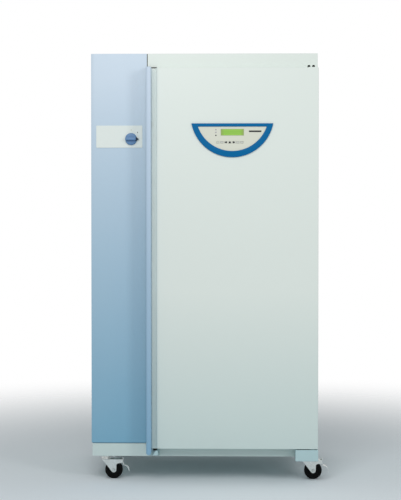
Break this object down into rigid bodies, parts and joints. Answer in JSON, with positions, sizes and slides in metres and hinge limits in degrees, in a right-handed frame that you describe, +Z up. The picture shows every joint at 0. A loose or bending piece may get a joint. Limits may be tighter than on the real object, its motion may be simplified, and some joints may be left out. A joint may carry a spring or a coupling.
{
  "type": "cooled incubator",
  "caption": "Tall laboratory cooled incubator: cooling unit in a side housing, insulated hinged door with full-height lever handle, half-round panel, swivel casters.",
  "frame": {"origin": "middle of the bottom of the bounding box, on the floor", "axes": "+Z up, +Y to the back of the cabinet, +X to the right as seen by someone facing the door"},
  "size_m": [1.0664, 0.78, 1.91],
  "materials": {
    "white_enamel": "smooth semi-gloss powder coat",
    "blue_enamel": "smooth semi-gloss powder coat",
    "blue_handle": "light blue powder coat on an extruded profile",
    "deep_blue_plastic": "smooth satin",
    "grey_blue_plastic": "smooth satin",
    "cream_foil": "fine matt foil",
    "switch_foil": "fine matt foil",
    "green_display": "lit green window",
    "key_foil": "matt foil over a raised key",
    "black_plastic": "matt",
    "tyre": "matt rubber",
    "seal": "soft matt",
    "grey_plastic": "matt",
    "rigid_foam": "fine closed cells",
    "stainless_steel": "fine brushed",
    "zinc_steel": "bright zinc plate",
    "fin_aluminium": "mill finish fins",
    "grey_metal": "satin",
    "black_enamel": "semi-gloss",
    "copper": "drawn copper tube",
    "safety_glass": "clear"
  },
  "bodies": {
    "cabinet": {"base_frame": "white_enamel", "cabinet_casing": "white_enamel", "back_panel": "white_enamel", "top_cap": "white_enamel", "control_box": "grey_metal", "front_frame": "grey_plastic", "chamber_liner": "stainless_steel", "chamber_insulation": "rigid_foam", "air_wall_left": "stainless_steel", "air_wall_right": "stainless_steel", "shelf_lower": "stainless_steel", "shelf_upper": "stainless_steel", "rear_baffle": "stainless_steel", "fan_motor": "grey_metal", "heater_ring": "grey_metal", "evaporator": "fin_aluminium", "temperature_sensor": "stainless_steel", "cooling_housing": "white_enamel", "cooling_front_panel": "blue_enamel", "switch_plate": "switch_foil", "compressor": "black_enamel", "condenser": "fin_aluminium", "condenser_fan_shroud": "grey_metal", "discharge_pipe": "copper", "suction_pipe": "copper", "mains_inlet": "black_plastic", "top_hinge_bracket": "white_enamel", "bottom_hinge_block": "white_enamel", "bottom_keeper_ramp": "white_enamel", "top_strike_pad": "black_plastic"},
    "door": {"door_skin": "white_enamel", "door_foam": "rigid_foam", "door_liner": "white_enamel", "door_gasket": "seal", "panel_bezel": "deep_blue_plastic", "panel_fascia": "cream_foil", "display_window": "green_display", "card_reader": "black_plastic"},
    "handle": {"door_handle": "blue_handle"},
    "glass_door": {"glass_door": "safety_glass"},
    "main_switch": {"main_switch_knob": "grey_blue_plastic"},
    "circulation_fan": {"circulation_fan": "fin_aluminium"},
    "condenser_fan": {"condenser_fan": "grey_plastic"},
    "key_1": {"key_1": "key_foil"},
    "key_2": {"key_2": "key_foil"},
    "key_3": {"key_3": "key_foil"},
    "key_4": {"key_4": "key_foil"},
    "key_5": {"key_5": "key_foil"},
    "key_6": {"key_6": "key_foil"},
    "key_7": {"key_7": "key_foil"},
    "front_left_caster": {"front_left_caster_fork": "zinc_steel"},
    "front_left_wheel": {"front_left_wheel": "tyre"},
    "front_left_brake_pedal": {"front_left_brake_pedal": "zinc_steel"},
    "front_right_caster": {"front_right_caster_fork": "zinc_steel"},
    "front_right_wheel": {"front_right_wheel": "tyre"},
    "front_right_brake_pedal": {"front_right_brake_pedal": "zinc_steel"},
    "rear_left_caster": {"rear_left_caster_fork": "zinc_steel"},
    "rear_left_wheel": {"rear_left_wheel": "tyre"},
    "rear_right_caster": {"rear_right_caster_fork": "zinc_steel"},
    "rear_right_wheel": {"rear_right_wheel": "tyre"}
  },
  "joints": [
    {"name": "door_hinge", "type": "hinge", "parent": "cabinet", "child": "door", "pos_m": [0.45475, -0.342, 0.9972], "axis": [0, 0, 1], "range_deg": [0, 110]},
    {"name": "handle_pivot", "type": "hinge", "parent": "door", "child": "handle", "pos_m": [-0.27175, -0.334, 0.98815], "axis": [0, 0, -1], "range_deg": [0, 22], "stiffness_Nm_per_rad": 3},
    {"name": "glass_door_hinge", "type": "hinge", "parent": "cabinet", "child": "glass_door", "pos_m": [0.38675, -0.2905, 1.3], "axis": [0, 0, 1], "range_deg": [0, 88]},
    {"name": "main_switch_turn", "type": "hinge", "parent": "cabinet", "child": "main_switch", "pos_m": [-0.35445, -0.298, 1.5299], "axis": [0, -1, 0], "range_deg": [0, 90]},
    {"name": "circulation_fan_spin", "type": "hinge", "parent": "cabinet", "child": "circulation_fan", "pos_m": [0.09675, 0.268, 1.3], "axis": [0, 1, 0], "continuous": true},
    {"name": "condenser_fan_spin", "type": "hinge", "parent": "cabinet", "child": "condenser_fan", "pos_m": [-0.40825, 0.3102, 0.2883], "axis": [0, 1, 0], "continuous": true},
    {"name": "key_1_press", "type": "slide", "parent": "door", "child": "key_1", "axis": [0, 1, 0], "range_m": [0, 0.0006], "stiffness_N_per_m": 400},
    {"name": "key_2_press", "type": "slide", "parent": "door", "child": "key_2", "axis": [0, 1, 0], "range_m": [0, 0.0006], "stiffness_N_per_m": 400},
    {"name": "key_3_press", "type": "slide", "parent": "door", "child": "key_3", "axis": [0, 1, 0], "range_m": [0, 0.0006], "stiffness_N_per_m": 400},
    {"name": "key_4_press", "type": "slide", "parent": "door", "child": "key_4", "axis": [0, 1, 0], "range_m": [0, 0.0006], "stiffness_N_per_m": 400},
    {"name": "key_5_press", "type": "slide", "parent": "door", "child": "key_5", "axis": [0, 1, 0], "range_m": [0, 0.0006], "stiffness_N_per_m": 400},
    {"name": "key_6_press", "type": "slide", "parent": "door", "child": "key_6", "axis": [0, 1, 0], "range_m": [0, 0.0006], "stiffness_N_per_m": 400},
    {"name": "key_7_press", "type": "slide", "parent": "door", "child": "key_7", "axis": [0, 1, 0], "range_m": [0, 0.0006], "stiffness_N_per_m": 400},
    {"name": "front_left_swivel", "type": "hinge", "parent": "cabinet", "child": "front_left_caster", "pos_m": [-0.47325, -0.24, 0.111], "axis": [0, 0, 1], "continuous": true},
    {"name": "front_left_wheel_spin", "type": "hinge", "parent": "front_left_caster", "child": "front_left_wheel", "pos_m": [-0.43775, -0.24, 0.04], "axis": [0, 1, 0], "continuous": true},
    {"name": "front_left_brake", "type": "hinge", "parent": "front_left_caster", "child": "front_left_brake_pedal", "pos_m": [-0.40375, -0.24, 0.0785], "axis": [0, -1, 0], "range_deg": [0, 18]},
    {"name": "front_right_swivel", "type": "hinge", "parent": "cabinet", "child": "front_right_caster", "pos_m": [0.42675, -0.24, 0.111], "axis": [0, 0, 1], "continuous": true},
    {"name": "front_right_wheel_spin", "type": "hinge", "parent": "front_right_caster", "child": "front_right_wheel", "pos_m": [0.46225, -0.24, 0.04], "axis": [0, 1, 0], "continuous": true},
    {"name": "front_right_brake", "type": "hinge", "parent": "front_right_caster", "child": "front_right_brake_pedal", "pos_m": [0.49625, -0.24, 0.0785], "axis": [0, -1, 0], "range_deg": [0, 18]},
    {"name": "rear_left_swivel", "type": "hinge", "parent": "cabinet", "child": "rear_left_caster", "pos_m": [-0.47325, 0.312, 0.111], "axis": [0, 0, 1], "continuous": true},
    {"name": "rear_left_wheel_spin", "type": "hinge", "parent": "rear_left_caster", "child": "rear_left_wheel", "pos_m": [-0.43775, 0.312, 0.04], "axis": [0, 1, 0], "continuous": true},
    {"name": "rear_right_swivel", "type": "hinge", "parent": "cabinet", "child": "rear_right_caster", "pos_m": [0.42675, 0.312, 0.111], "axis": [0, 0, 1], "continuous": true},
    {"name": "rear_right_wheel_spin", "type": "hinge", "parent": "rear_right_caster", "child": "rear_right_wheel", "pos_m": [0.46225, 0.312, 0.04], "axis": [0, 1, 0], "continuous": true}
  ],
  "couplings": [
    {"joint": "glass_door_hinge", "follows": "door_hinge", "ratio": 0.8}
  ]
}
